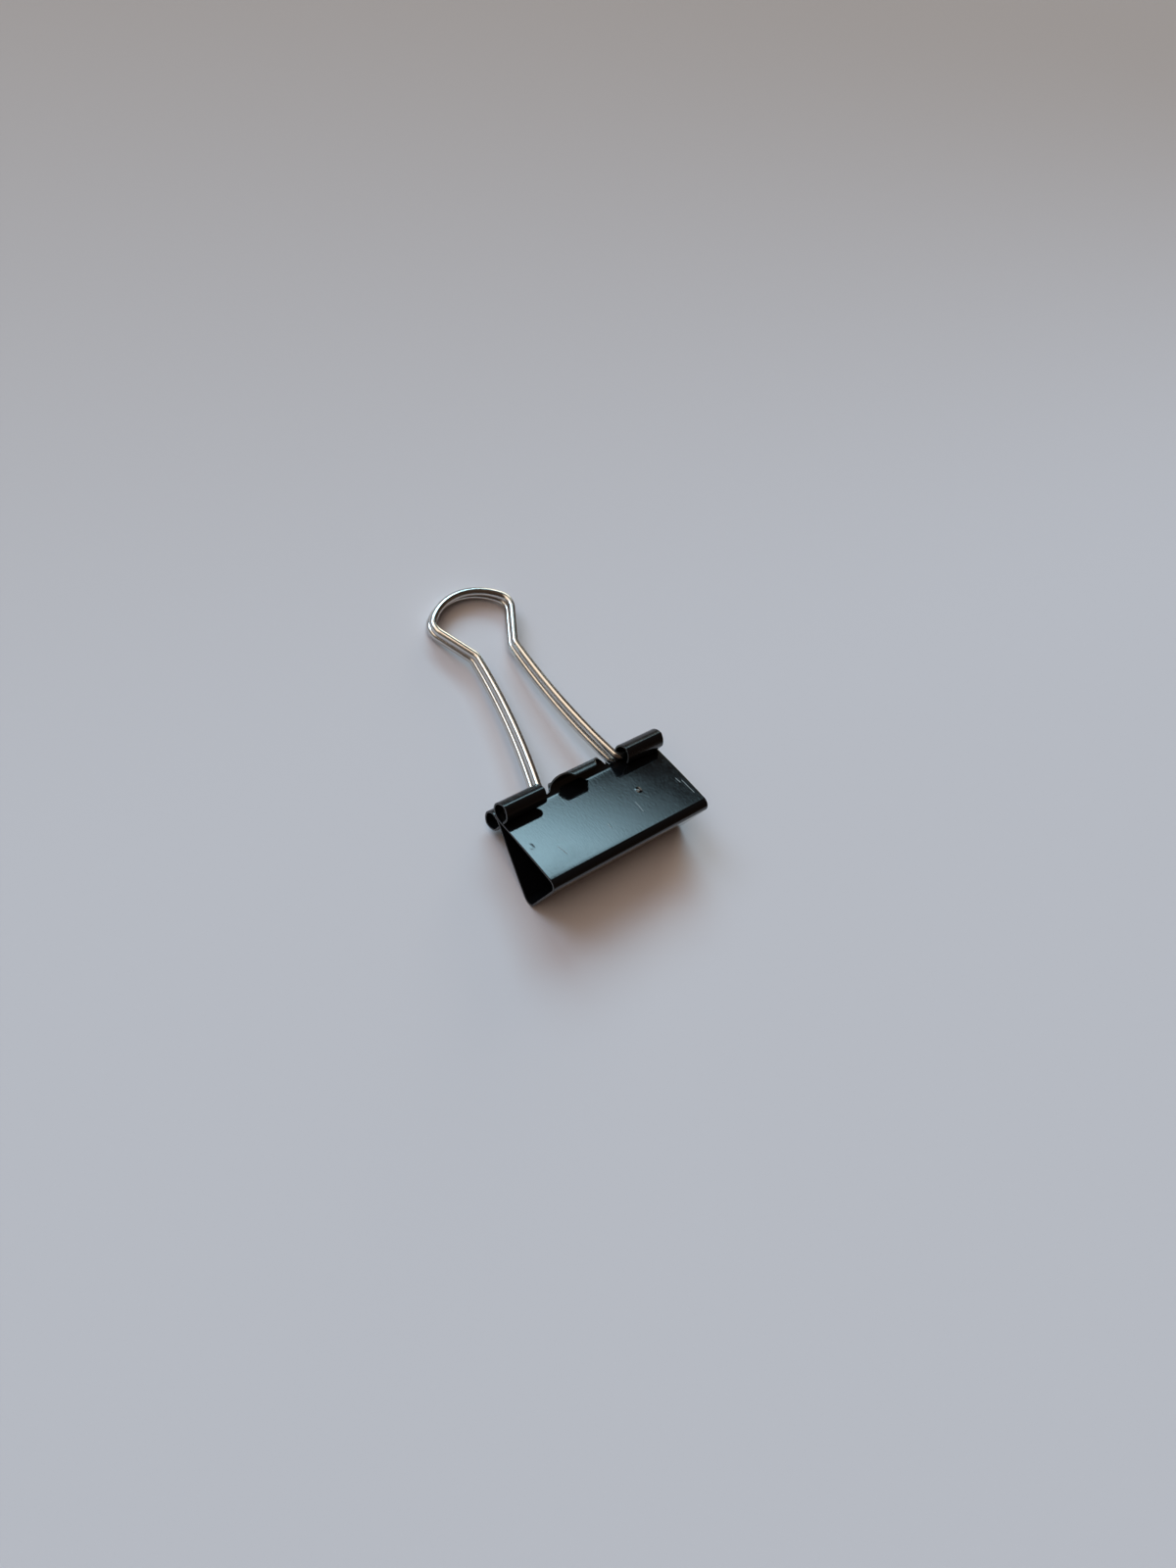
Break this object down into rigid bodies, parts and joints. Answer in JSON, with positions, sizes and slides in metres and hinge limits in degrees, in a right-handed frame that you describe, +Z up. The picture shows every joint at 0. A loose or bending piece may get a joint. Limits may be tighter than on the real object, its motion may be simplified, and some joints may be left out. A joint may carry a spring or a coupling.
{
  "type": "foldback clip",
  "caption": "Desk clip for gripping papers: a black spring steel strip folded into a triangle, with curled jaws and hinged nickel-plated wire handles.",
  "frame": {"origin": "on the table, under the middle of the clip's outline", "axes": "+X along the jaws, +Y from the spine to the handles, +Z up"},
  "size_m": [0.032, 0.0508, 0.0096],
  "materials": {
    "black_enamel": "gloss black enamel on spring steel, lightly orange-peeled, with fine scratches",
    "nickel_wire": "bright nickel plate on steel wire"
  },
  "bodies": {
    "lower_spring": {"spring_lower_half": "black_enamel"},
    "upper_spring": {"spring_upper_half": "black_enamel"},
    "lower_handle": {"lower_handle": "nickel_wire"},
    "upper_handle": {"upper_handle": "nickel_wire"}
  },
  "joints": [
    {"name": "jaw_opening", "type": "hinge", "parent": "lower_spring", "child": "upper_spring", "pos_m": [0, -0.02536, 0.0048], "axis": [1, 0, 0], "range_deg": [0, 50], "stiffness_Nm_per_rad": 0.3, "springref_deg": -1.15},
    {"name": "upper_handle_turn", "type": "hinge", "parent": "upper_spring", "child": "upper_handle", "pos_m": [0, -0.01116, 0.00585], "axis": [1, 0, 0], "range_deg": [0, 163]},
    {"name": "lower_handle_turn", "type": "hinge", "parent": "lower_spring", "child": "lower_handle", "pos_m": [0, -0.01116, 0.00375], "axis": [-1, 0, 0], "range_deg": [0, 152]}
  ]
}
